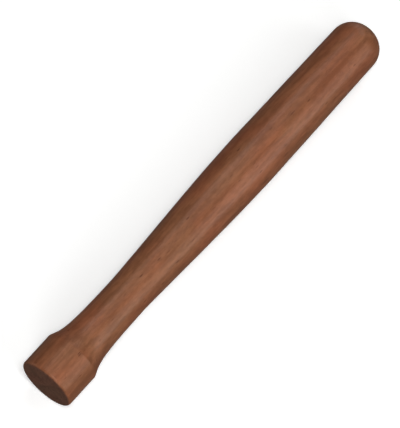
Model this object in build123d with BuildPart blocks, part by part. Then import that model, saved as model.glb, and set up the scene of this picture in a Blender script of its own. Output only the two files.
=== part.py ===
from build123d import *
import os
from math import radians, tan

# Bar muddler turned from one piece of hardwood. All sizes are in millimetres.
# The turning axis runs along +X, from the centre of the flat muddling face (the origin) to the
# domed butt, and +Z is up. The tool lies on its side.

# ---- driving dimensions: places along the axis are measured from the muddling face ----
overall_length = 254.0

foot_diameter = 30.2
foot_length = 19.5              # straight band between the muddling face and the shoulder
foot_rim_radius = 1.5           # round-over between the muddling face and the band
shoulder_edge_radius = 0.6      # the shoulder is only eased with abrasive paper

flare_angle = 20.0              # degrees from the axis, where the flare leaves the shoulder
neck_diameter = 22.0
neck_position = 61.7

belly_diameter = 28.6           # thickest place of the grip, where its taper starts
belly_position = 164.0

butt_diameter = 27.2            # of the taper where it would meet the crown
butt_crown_height = 3.0
butt_edge_radius = 11.8         # rolls the taper over into the crown

# How long each curve keeps the direction it has at its end, as a share of its own length.
hold_at_shoulder = 0.15
hold_before_neck = 0.87
hold_after_neck = 0.115
hold_before_belly = 0.325

largest_roll = 0.92             # an edge's round-over, as a share of the radius it is turned on

# ---- sizes that follow from them ----
foot_radius = foot_diameter / 2
neck_radius = neck_diameter / 2
belly_radius = belly_diameter / 2
butt_radius = butt_diameter / 2

crown_radius = (butt_radius**2 + butt_crown_height**2) / (2 * butt_crown_height)
butt_position = overall_length - butt_crown_height
taper_slope = (butt_radius - belly_radius) / (butt_position - belly_position)

face_centre = (0, 0)
rim = (0, foot_radius)
shoulder = (foot_length, foot_radius)
neck = (neck_position, neck_radius)
belly = (belly_position, belly_radius)
butt = (butt_position, butt_radius)
crown_top = (overall_length, 0)


def along(point, distance, slope):
    """A point further along the axis, on the line with this slope through point."""
    return (point[0] + distance, point[1] + distance * slope)


def corner_at(sketch, point):
    """The corner of the sketch that lies at point."""
    return sketch.vertices().sort_by_distance(point)[0]


# ---- the turned piece ----
flare_length = neck_position - foot_length
swell_length = belly_position - neck_position

with BuildPart() as muddler:
    with BuildSketch(Plane.XY) as outline:
        with BuildLine():
            Polyline(crown_top, face_centre, rim, shoulder)
            Bezier(
                shoulder,
                along(shoulder, hold_at_shoulder * flare_length, -tan(radians(flare_angle))),
                along(neck, -hold_before_neck * flare_length, 0),
                neck,
            )
            Bezier(
                neck,
                along(neck, hold_after_neck * swell_length, 0),
                along(belly, -hold_before_belly * swell_length, taper_slope),
                belly,
            )
            Line(belly, butt)
            RadiusArc(butt, crown_top, crown_radius)
        make_face()
        fillet(corner_at(outline, rim), min(foot_rim_radius, largest_roll * foot_radius))
        fillet(corner_at(outline, shoulder), shoulder_edge_radius)
        fillet(corner_at(outline, butt), min(butt_edge_radius, largest_roll * butt_radius))
    revolve(axis=Axis.X)

muddler.part.label = "muddler"

os.makedirs("parts", exist_ok=True)
export_step(muddler.part, "parts/muddler.step")
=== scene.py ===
from math import cos, pi, radians, sin

import bpy
import numpy as np
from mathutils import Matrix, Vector, noise


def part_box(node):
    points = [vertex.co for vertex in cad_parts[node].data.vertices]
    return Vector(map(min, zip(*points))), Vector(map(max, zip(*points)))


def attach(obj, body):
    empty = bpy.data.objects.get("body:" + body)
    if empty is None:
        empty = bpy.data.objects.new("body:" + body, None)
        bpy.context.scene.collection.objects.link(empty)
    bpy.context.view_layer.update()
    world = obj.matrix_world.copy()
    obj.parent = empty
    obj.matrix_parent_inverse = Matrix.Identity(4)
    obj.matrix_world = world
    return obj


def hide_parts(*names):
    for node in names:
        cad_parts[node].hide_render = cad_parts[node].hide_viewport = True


# The look of a bar muddler: one turned, walnut-stained and satin-lacquered piece of hardwood.
# The turning axis runs along +X from the flat muddling face to the domed butt, and the tool lies
# on its side. Lengths are metres, but the wood's section and the camera's lens are in millimetres.

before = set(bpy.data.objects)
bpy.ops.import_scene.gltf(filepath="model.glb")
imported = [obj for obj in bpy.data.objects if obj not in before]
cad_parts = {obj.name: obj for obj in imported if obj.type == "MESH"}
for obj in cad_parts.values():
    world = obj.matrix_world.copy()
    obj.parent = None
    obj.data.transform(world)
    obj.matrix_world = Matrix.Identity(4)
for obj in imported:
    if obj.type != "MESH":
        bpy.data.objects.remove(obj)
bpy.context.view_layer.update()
MM = 0.001


# ---------------------------------------------------------------- the turned shape

SMALLEST_GAP = 0.08 * MM        # closer points of the CAD outline count as one
OUTLINE_STEP = 0.02 * MM        # between two points of the smoothed outline
SEGMENTS = 128                  # points round the tool
LONGEST_STEP = 0.75 * MM        # between two rings, where the outline is straight
LARGEST_TURN = radians(5)       # of the outline between two rings, where it bends
SKIN_GAP = 0.03 * MM            # keeps the wood just inside the CAD solid
# Unevenness that hand sanding leaves: length along the tool and depth
SANDING_WAVES = ((17 * MM, 0.11 * MM), (6 * MM, 0.022 * MM))
SANDING_FADE = 8 * MM           # within this radius it fades out, to nothing on the axis
SAME_RADIUS = 0.01 * MM         # a radius this near to the foot's largest is on its straight band


def cad_outline(node):
    """A turned CAD node's outline as points (x, radius), from the face's centre to the crown."""
    corners = np.array([v.co for v in node.data.vertices])
    points = np.column_stack((corners[:, 0], np.hypot(corners[:, 1], corners[:, 2])))
    points = points[np.lexsort((points[:, 1], points[:, 0]))]
    kept = [np.array((points[0, 0], 0.0))]
    for point in points:
        if np.linalg.norm(point - kept[-1]) > SMALLEST_GAP:
            kept.append(point)
    kept[-1] = np.array((points[-1, 0], 0.0))
    return np.array(kept)


def smooth_curve(points, spacing):
    """Points every spacing along the smooth curve through points."""
    length = np.concatenate(([0], np.cumsum(np.linalg.norm(np.diff(points, axis=0), axis=1))))
    at = np.arange(0, length[-1], spacing)
    i = np.clip(np.searchsorted(length, at, side="right") - 1, 0, len(points) - 2)
    span = length[i + 1] - length[i]
    s = ((at - length[i]) / span)[:, None]
    chords = np.diff(points, axis=0) / np.diff(length)[:, None]
    middle = (points[2:] - points[:-2]) / (length[2:] - length[:-2])[:, None]
    tangents = np.vstack((chords[:1], middle, chords[-1:]))
    pull = span[:, None]
    return (
        (2 * s**3 - 3 * s**2 + 1) * points[i]
        + (s**3 - 2 * s**2 + s) * pull * tangents[i]
        + (3 * s**2 - 2 * s**3) * points[i + 1]
        + (s**3 - s**2) * pull * tangents[i + 1]
    )


def ring_stations(outline):
    """Picks the outline points that get a ring: closer together where the outline bends."""
    steps = np.diff(outline, axis=0)
    length = np.linalg.norm(steps, axis=1)
    heading = np.unwrap(np.arctan2(steps[:, 1], steps[:, 0]))
    turn = np.abs(np.diff(heading, prepend=heading[0]))
    cost = np.cumsum(length / LONGEST_STEP + turn / LARGEST_TURN)
    wanted = np.arange(1, cost[-1])
    return np.column_stack([np.interp(wanted, cost, outline[1:, axis]) for axis in (0, 1)])


def hand_sanded(x, radius, angle):
    """How far the sanding took the surface below the turned outline at this place."""
    cut = 0.0
    for length, depth in SANDING_WAVES:
        around = radius / length
        place = Vector((x / length, around * cos(angle), around * sin(angle)))
        cut += depth * (0.5 + 0.5 * noise.noise(place))
    return cut * min(1.0, radius / SANDING_FADE)


def turned_mesh(name, outline):
    """A closed mesh of revolution about X, a little inside the outline."""
    stations = ring_stations(outline)
    first_x = outline[0, 0] + SKIN_GAP
    last_x = outline[-1, 0] - SKIN_GAP
    vertices = [(first_x, 0, 0)]
    for x, radius in stations:
        for step in range(SEGMENTS):
            angle = 2 * pi * step / SEGMENTS
            r = radius - SKIN_GAP - hand_sanded(x, radius, angle)
            vertices.append((min(max(x, first_x), last_x), r * cos(angle), r * sin(angle)))
    vertices.append((last_x, 0, 0))
    last_vertex = len(vertices) - 1
    last_ring = 1 + (len(stations) - 1) * SEGMENTS
    faces = []
    for here in range(SEGMENTS):
        after = (here + 1) % SEGMENTS
        faces.append((0, 1 + here, 1 + after))
        for ring in range(1, last_ring, SEGMENTS):
            beyond = ring + SEGMENTS
            faces.append((ring + here, beyond + here, beyond + after, ring + after))
        faces.append((last_ring + after, last_ring + here, last_vertex))
    mesh = bpy.data.meshes.new(name)
    mesh.from_pydata(vertices, [], faces)
    mesh.shade_smooth()
    return mesh


def add_object(name, data):
    thing = bpy.data.objects.new(name, data)
    bpy.context.scene.collection.objects.link(thing)
    return thing


# ---------------------------------------------------------------- material helpers

# A Mix node's colour sockets share their names with its other sockets, so they go by number
MIX_COLOUR_A, MIX_COLOUR_B, MIX_COLOUR_RESULT = 6, 7, 2


def new_material(name):
    material = bpy.data.materials.new(name)
    material.use_nodes = True
    return material, material.node_tree, material.node_tree.nodes["Principled BSDF"]


def node(tree, kind, inputs=None, **settings):
    """Adds a node. A value in inputs is a plain number or colour, or the socket to link."""
    made = tree.nodes.new(kind)
    for name, value in settings.items():
        setattr(made, name, value)
    for name, value in (inputs or {}).items():
        if isinstance(value, bpy.types.NodeSocket):
            tree.links.new(value, made.inputs[name])
        else:
            made.inputs[name].default_value = value
    return made


def maths(tree, operation, a, b=0.0):
    return node(tree, "ShaderNodeMath", {0: a, 1: b}, operation=operation).outputs[0]


def vector_maths(tree, operation, a, b):
    return node(tree, "ShaderNodeVectorMath", {0: a, 1: b}, operation=operation).outputs[0]


def vector_length(tree, vector):
    measured = node(tree, "ShaderNodeVectorMath", {0: vector}, operation="LENGTH")
    return measured.outputs["Value"]


def coordinate(tree, vector, axis):
    return node(tree, "ShaderNodeSeparateXYZ", {0: vector}).outputs[axis]


def texture_place(tree, kind):
    return node(tree, "ShaderNodeTexCoord").outputs[kind]


def fade(tree, value, start, end, low=0.0, high=1.0):
    """low where value is at start, high where it is at end, with a smooth change between."""
    inputs = {"Value": value, "From Min": start, "From Max": end, "To Min": low, "To Max": high}
    return node(tree, "ShaderNodeMapRange", inputs, interpolation_type="SMOOTHSTEP").outputs[0]


def mix_colours(tree, factor, a, b, blend="MIX"):
    inputs = {"Factor": factor, MIX_COLOUR_A: a, MIX_COLOUR_B: b}
    mix = node(tree, "ShaderNodeMix", inputs, data_type="RGBA", blend_type=blend)
    return mix.outputs[MIX_COLOUR_RESULT]


def noise_texture(tree, vector, detail=2.0, roughness=0.5):
    inputs = {"Vector": vector, "Scale": 1.0, "Detail": detail, "Roughness": roughness}
    return node(tree, "ShaderNodeTexNoise", inputs)


def noise_value(tree, vector, detail=2.0, roughness=0.5):
    return noise_texture(tree, vector, detail, roughness).outputs["Fac"]


# ---------------------------------------------------------------- the wood

MM_PER_METRE = 1000
GRAIN_TILT = (0.0, radians(0.9), radians(1.3))   # between the fibres and the turning axis
WANDER = 5                                       # width in which a fibre wanders sideways
PITH = (0.0, -36.0, 22.0)                        # the tree's centre, outside the blank
RING_WIDTH = 3.4
RING_UNEVENNESS = 1.1                            # in ring widths
LATE_WOOD = (0.35, 0.9)                          # shares of a ring between which it darkens
RING_END = (0.93, 1.0)                           # and between which it drops to early wood

# Features of the grain: their length along the fibres and their width
WANDER_SIZE = (70, 22)
RING_UNEVENNESS_SIZE = (120, 9)
STREAK_SIZE = (38, 1.5)
PATCH_SIZE = (26, 5)
MOTTLE_SIZE = (4.5, 2.0)
FIBRE_SIZE = (7, 0.28)
BLOTCH_SIZE = (30, 14)
CROWDING_SIZE = (24, 6)
NOISE_RANGE = (0.3, 0.7)                         # most of a noise texture lies between these
FINE_NOISE = (3.0, 0.6)                          # its detail and roughness
FINEST_NOISE = (4.0, 0.6)

# How much each feature darkens the wood: its least and most, or its whole share
STREAK_SHADE = (0.08, 0.42)
PATCH_SHADE = (-0.20, 0.48)
MOTTLE_SHADE = (-0.24, 0.24)
RING_SHADE = 0.18
FIBRE_SHADE = 0.30

# Pores: length and width of the cell round each, the share of the cell that it reaches from its
# middle, and how rare it is, from 0 to 1
DASHES = (17, 1.9, 0.22, 0.80)
FLECKS = (6.4, 1.6, 0.27, 0.62)
FINE_PORES = (2.1, 0.5, 0.30, 0.25)
PORE_CORE = 0.4                                  # share of a pore's reach that is fully dark
CROWDING = (0.35, 0.65, 0.25, 1.0)               # two noise values, and the flecks' strength there
PORE_COLOUR_SHARES = (0.80, 0.85, 0.35)          # of PORE_COLOUR in dashes, flecks and fine pores
PORE_DEPTHS = (0.04, 0.05, 0.015)                # of the same three
FIBRE_HEIGHT = 0.010

LIGHT_WOOD = (0.267, 0.099, 0.047, 1)
DARK_WOOD = (0.172, 0.060, 0.027, 1)
PORE_COLOUR = (0.070, 0.021, 0.011, 1)
RED_STAIN = (1.04, 0.94, 0.92, 1)
BROWN_STAIN = (0.97, 1.03, 1.01, 1)
FACE_STAIN = (0.54, 0.66, 0.88, 1)
FIBRE_SHEEN = (1.0, 0.60, 0.38, 1)               # light that the fibres under the lacquer reflect

# Facing is the X of the surface's direction: -1 on the flat face, 0 on the sides, 1 on the crown.
# A fade over it is written as two facings and, unless it goes from 0 to 1, the amounts there.
STAINED_FACE = (-0.55, -0.98)
STAINED_CROWN = (0.25, 1.0, 0.0, 0.25)
LACQUER_TO_FACE = (-0.06, -0.35, 0.25, 0.08)
LACQUER_LOST_TO_CROWN = (0.08, 0.40, 0.0, 0.13)
LACQUER_LOST_IN_FLECKS = 0.12
STREAK_ROUGHNESS = (0.2, 0.8, 0.44, 0.56)        # two noise values, and the roughness there
FLECK_ROUGHNESS = 0.2
FACE_ROUGHNESS = 0.2
LACQUER_ROUGHNESS = 0.28


def stretched(tree, vector, size):
    """vector divided by the size of a feature: its length along the grain and its width."""
    along, across = size
    return vector_maths(tree, "DIVIDE", vector, (along, across, across))


def grain_space(tree):
    """Millimetre coordinates in the wood, with X along its slightly tilted and wavy fibres."""
    inputs = {
        "Vector": texture_place(tree, "Object"),
        "Rotation": GRAIN_TILT,
        "Scale": (MM_PER_METRE, MM_PER_METRE, MM_PER_METRE),
    }
    turned = node(tree, "ShaderNodeMapping", inputs).outputs[0]
    wander = noise_texture(tree, stretched(tree, turned, WANDER_SIZE), detail=1.0).outputs["Color"]
    centred = vector_maths(tree, "SUBTRACT", wander, (0.5, 0.5, 0.5))
    sideways = vector_maths(tree, "MULTIPLY", centred, (0, WANDER, WANDER))
    return vector_maths(tree, "ADD", turned, sideways)


def growth_rings(tree, grain):
    """1 in the dense late wood of each growth ring, 0 in its early wood."""
    from_pith = vector_maths(tree, "SUBTRACT", grain, PITH)
    distance = vector_length(tree, vector_maths(tree, "MULTIPLY", from_pith, (0, 1, 1)))
    uneven = noise_value(tree, stretched(tree, grain, RING_UNEVENNESS_SIZE))
    uneven = maths(tree, "MULTIPLY", uneven, RING_UNEVENNESS)
    count = maths(tree, "ADD", maths(tree, "DIVIDE", distance, RING_WIDTH), uneven)
    within = maths(tree, "FRACT", count)
    late = fade(tree, within, *LATE_WOOD)
    return maths(tree, "MULTIPLY", late, fade(tree, within, *RING_END, 1.0, 0.0))


def pores(tree, grain, length, width, reach, rarity):
    """Short dark vessel lines along the grain, each of its own strength."""
    place = stretched(tree, grain, (length, width))
    cells = node(tree, "ShaderNodeTexVoronoi", {"Vector": place, "Scale": 1.0})
    dash = fade(tree, cells.outputs["Distance"], PORE_CORE * reach, reach, 1.0, 0.0)
    chance = node(tree, "ShaderNodeSeparateColor", {0: cells.outputs["Color"]}).outputs[0]
    return maths(tree, "MULTIPLY", dash, fade(tree, chance, rarity, 1.0))


def pore_marks(tree, grain):
    """The dashes, the flecks, which are weak in some places, and the fine pores."""
    crowding = fade(tree, noise_value(tree, stretched(tree, grain, CROWDING_SIZE)), *CROWDING)
    flecks = maths(tree, "MULTIPLY", pores(tree, grain, *FLECKS), crowding)
    return pores(tree, grain, *DASHES), flecks, pores(tree, grain, *FINE_PORES)


def wood_colour(tree, grain, streaks, fibres, marks):
    """The colour of the side grain: light and dark wood, uneven stain, and pores."""
    patches = noise_value(tree, stretched(tree, grain, PATCH_SIZE), *FINE_NOISE)
    mottle = noise_value(tree, stretched(tree, grain, MOTTLE_SIZE), *FINE_NOISE)
    dark = maths(tree, "MULTIPLY", growth_rings(tree, grain), RING_SHADE)
    dark = maths(tree, "ADD", dark, fade(tree, streaks, *NOISE_RANGE, *STREAK_SHADE))
    dark = maths(tree, "ADD", dark, fade(tree, patches, *NOISE_RANGE, *PATCH_SHADE))
    dark = maths(tree, "ADD", dark, fade(tree, mottle, *NOISE_RANGE, *MOTTLE_SHADE))
    dark = maths(tree, "ADD", dark, maths(tree, "MULTIPLY", fibres, FIBRE_SHADE))
    colour = mix_colours(tree, dark, LIGHT_WOOD, DARK_WOOD)
    blotches = noise_value(tree, stretched(tree, grain, BLOTCH_SIZE))
    stain = mix_colours(tree, fade(tree, blotches, *NOISE_RANGE), RED_STAIN, BROWN_STAIN)
    colour = mix_colours(tree, 1.0, colour, stain, "MULTIPLY")
    for mark, share in zip(marks, PORE_COLOUR_SHARES):
        colour = mix_colours(tree, maths(tree, "MULTIPLY", mark, share), colour, PORE_COLOUR)
    return colour


def stained_ends(tree, colour, facing, at_face):
    """End grain drinks more stain: the flat face most, the crown less."""
    end_grain = maths(tree, "ADD", at_face, fade(tree, facing, *STAINED_CROWN))
    stained = mix_colours(tree, 1.0, colour, FACE_STAIN, "MULTIPLY")
    return mix_colours(tree, end_grain, colour, stained)


def wood_roughness(tree, streaks, flecks, at_face):
    roughness = fade(tree, streaks, *STREAK_ROUGHNESS)
    roughness = maths(tree, "ADD", roughness, maths(tree, "MULTIPLY", flecks, FLECK_ROUGHNESS))
    return maths(tree, "ADD", roughness, maths(tree, "MULTIPLY", at_face, FACE_ROUGHNESS))


def lacquer_weight(tree, facing, flecks):
    """The lacquer is thin where fibres are cut across, and doesn't fill the larger pores."""
    in_flecks = maths(tree, "MULTIPLY", flecks, LACQUER_LOST_IN_FLECKS)
    weight = maths(tree, "SUBTRACT", fade(tree, facing, *LACQUER_TO_FACE), in_flecks)
    return maths(tree, "SUBTRACT", weight, fade(tree, facing, *LACQUER_LOST_TO_CROWN))


def wood_relief(tree, fibres, marks):
    """The surface's direction with the fine relief of fibres and open pores."""
    height = maths(tree, "MULTIPLY", fibres, FIBRE_HEIGHT)
    for mark, depth in zip(marks, PORE_DEPTHS):
        height = maths(tree, "SUBTRACT", height, maths(tree, "MULTIPLY", mark, depth))
    return node(tree, "ShaderNodeBump", {"Height": height, "Distance": MM}).outputs[0]


def lacquered_hardwood():
    material, tree, shader = new_material("lacquered_hardwood")
    grain = grain_space(tree)
    streaks = noise_value(tree, stretched(tree, grain, STREAK_SIZE), *FINEST_NOISE)
    fibres = noise_value(tree, stretched(tree, grain, FIBRE_SIZE), *FINE_NOISE)
    marks = pore_marks(tree, grain)
    flecks = marks[1]
    facing = coordinate(tree, node(tree, "ShaderNodeNewGeometry").outputs["Normal"], 0)
    at_face = fade(tree, facing, *STAINED_FACE)

    colour = wood_colour(tree, grain, streaks, fibres, marks)
    surface = {
        "Base Color": stained_ends(tree, colour, facing, at_face),
        "Roughness": wood_roughness(tree, streaks, flecks, at_face),
        "Coat Weight": lacquer_weight(tree, facing, flecks),
        "Normal": wood_relief(tree, fibres, marks),
    }
    for name, value in surface.items():
        tree.links.new(value, shader.inputs[name])
    shader.inputs["Specular Tint"].default_value = FIBRE_SHEEN
    shader.inputs["Coat Roughness"].default_value = LACQUER_ROUGHNESS
    return material


# ---------------------------------------------------------------- the studio

FLOOR_SIZE = 6.0
FLOOR_COLOUR = (0.86, 0.86, 0.855, 1)
FLOOR_ROUGHNESS = 0.9
FLOOR_MOTTLES = 9               # per metre
FLOOR_SHADES = (0.2, 0.8, 0.985, 1.0)   # two noise values, and the brightness there
FLOOR_PAINTED_GLOW = (0.42, 1.00)       # painted glow that lights nothing, added to the floor's own colour: near the tool and far off
PAINTED_GLOW_REACH = (0.25, 1.3)        # distances from the tool's foot between which the painted glow rises


def pale_paper_painted_glow():
    material, tree, shader = new_material("pale_paper_painted_glow")
    place = texture_place(tree, "Object")
    scaled = vector_maths(tree, "MULTIPLY", place, (FLOOR_MOTTLES,) * 3)
    shade = fade(tree, noise_value(tree, scaled, detail=3.0), *FLOOR_SHADES)
    tone = mix_colours(tree, shade, (0, 0, 0, 1), FLOOR_COLOUR)
    # Painted glow: the floor gives off light in its own colour, weaker near the tool, and this
    # light falls on nothing
    painted_glow = fade(tree, vector_length(tree, place), *PAINTED_GLOW_REACH, *FLOOR_PAINTED_GLOW)
    tree.links.new(tone, shader.inputs["Base Color"])
    tree.links.new(tone, shader.inputs["Emission Color"])
    tree.links.new(painted_glow, shader.inputs["Emission Strength"])
    shader.inputs["Roughness"].default_value = FLOOR_ROUGHNESS
    return material


def pale_floor(foot_bottom, belly_bottom):
    """A plain floor that touches the foot and the thickest place of the grip."""
    slope = (belly_bottom.z - foot_bottom.z) / (belly_bottom.x - foot_bottom.x)
    half = FLOOR_SIZE / 2
    corners = []
    for x in (-half, half):
        z = foot_bottom.z + slope * (x - foot_bottom.x)
        corners += [(x, -half, z), (x, half, z)]
    mesh = bpy.data.meshes.new("floor")
    mesh.from_pydata(corners, [], [(0, 2, 3, 1)])
    mesh.materials.append(pale_paper_painted_glow())
    floor = add_object("floor", mesh)
    floor.visible_diffuse = False       # the tool is lit by the softboxes and the dim world alone
    floor.visible_glossy = False


def direction(azimuth, elevation):
    """Unit vector towards a place seen at these angles: azimuth 0 is -Y and 90 is +X."""
    a, e = radians(azimuth), radians(elevation)
    return Vector((sin(a) * cos(e), -cos(a) * cos(e), sin(e)))


def aim(thing, place, target):
    thing.location = place
    thing.rotation_euler = (target - place).to_track_quat("-Z", "Y").to_euler()


SOFTBOX_SIZE = 0.4
SOFTBOX_DISTANCE = 1.2
SOFTBOXES = (
    # name, azimuth and elevation in degrees, watts
    ("key_softbox", -40, 67, 5.8),
    ("front_softbox", -16, 23, 4.0),
    ("foot_softbox", -68, 23, 4.3),
    ("back_softbox", 133, 60, 1.85),
    ("top_softbox", 75, 68, 0.8),
    ("upper_strip", 26, 33, 1.65),
    ("lower_strip", 22, 11, 2.25),
    ("crown_softbox", 112, 6, 1.1),
    ("butt_softbox", 94, 32, 1.6),
    ("rear_softbox", 207, 14, 1.8),
)
AMBIENT = (0.11, 0.0)           # below and above the horizon
HORIZON = (-0.15, 0.15)         # heights of a unit direction between which it changes
BACKDROP = 0.86


def softbox(name, target, azimuth, elevation, watts):
    light = bpy.data.lights.new(name, "AREA")
    light.shape = "SQUARE"
    light.size = SOFTBOX_SIZE
    light.energy = watts
    aim(add_object(name, light), target + SOFTBOX_DISTANCE * direction(azimuth, elevation), target)


def soft_world():
    """Dim light from the table side, and a pale backdrop where the camera looks past the floor."""
    world = bpy.data.worlds.new("studio")
    world.use_nodes = True
    tree = world.node_tree
    height = coordinate(tree, texture_place(tree, "Generated"), 2)
    ambient = fade(tree, height, *HORIZON, *AMBIENT)
    seen = node(tree, "ShaderNodeLightPath").outputs["Is Camera Ray"]
    inputs = {"Value": seen, "To Min": ambient, "To Max": BACKDROP}
    strength = node(tree, "ShaderNodeMapRange", inputs).outputs[0]
    background = tree.nodes["Background"]
    tree.links.new(strength, background.inputs["Strength"])
    background.inputs["Color"].default_value = (1, 1, 1, 1)
    bpy.context.scene.world = world


CAMERA_AZIMUTH = -51.38
CAMERA_ELEVATION = 62.71
CAMERA_DISTANCE = 1.5
CAMERA_LENS_MM = 254.2
CAMERA_CLIP_END = 20
AIM_LEFT = 5.70 * MM            # of the tool's middle, as the camera sees it
AIM_BELOW = 5.40 * MM


def photo_camera(middle):
    """The photograph's viewing angle: from the foot's side and well above."""
    towards = direction(CAMERA_AZIMUTH, CAMERA_ELEVATION)
    data = bpy.data.cameras.new("camera")
    data.lens = CAMERA_LENS_MM
    data.clip_end = CAMERA_CLIP_END
    camera = add_object("camera", data)
    right = Vector((0, 0, 1)).cross(towards).normalized()
    up = towards.cross(right)
    target = middle - AIM_LEFT * right - AIM_BELOW * up
    aim(camera, middle + CAMERA_DISTANCE * towards, target)
    bpy.context.scene.camera = camera


# ---------------------------------------------------------------- the scene

outline = smooth_curve(cad_outline(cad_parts["muddler"]), OUTLINE_STEP)
muddler = add_object("turned_muddler", turned_mesh("turned_muddler", outline))
muddler.data.materials.append(lacquered_hardwood())
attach(muddler, "root")
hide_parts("muddler")

low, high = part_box("muddler")
middle = Vector(((low.x + high.x) / 2, 0, 0))
foot_band_end = outline[outline[:, 1] > high.y - SAME_RADIUS][-1]
grip = outline[outline[:, 0] > middle.x]
belly = grip[np.argmax(grip[:, 1])]
pale_floor(Vector((foot_band_end[0], 0, -foot_band_end[1])), Vector((belly[0], 0, -belly[1])))

soft_world()
for name, azimuth, elevation, watts in SOFTBOXES:
    softbox(name, middle, azimuth, elevation, watts)
photo_camera(middle)
bpy.context.scene.view_settings.view_transform = "Standard"
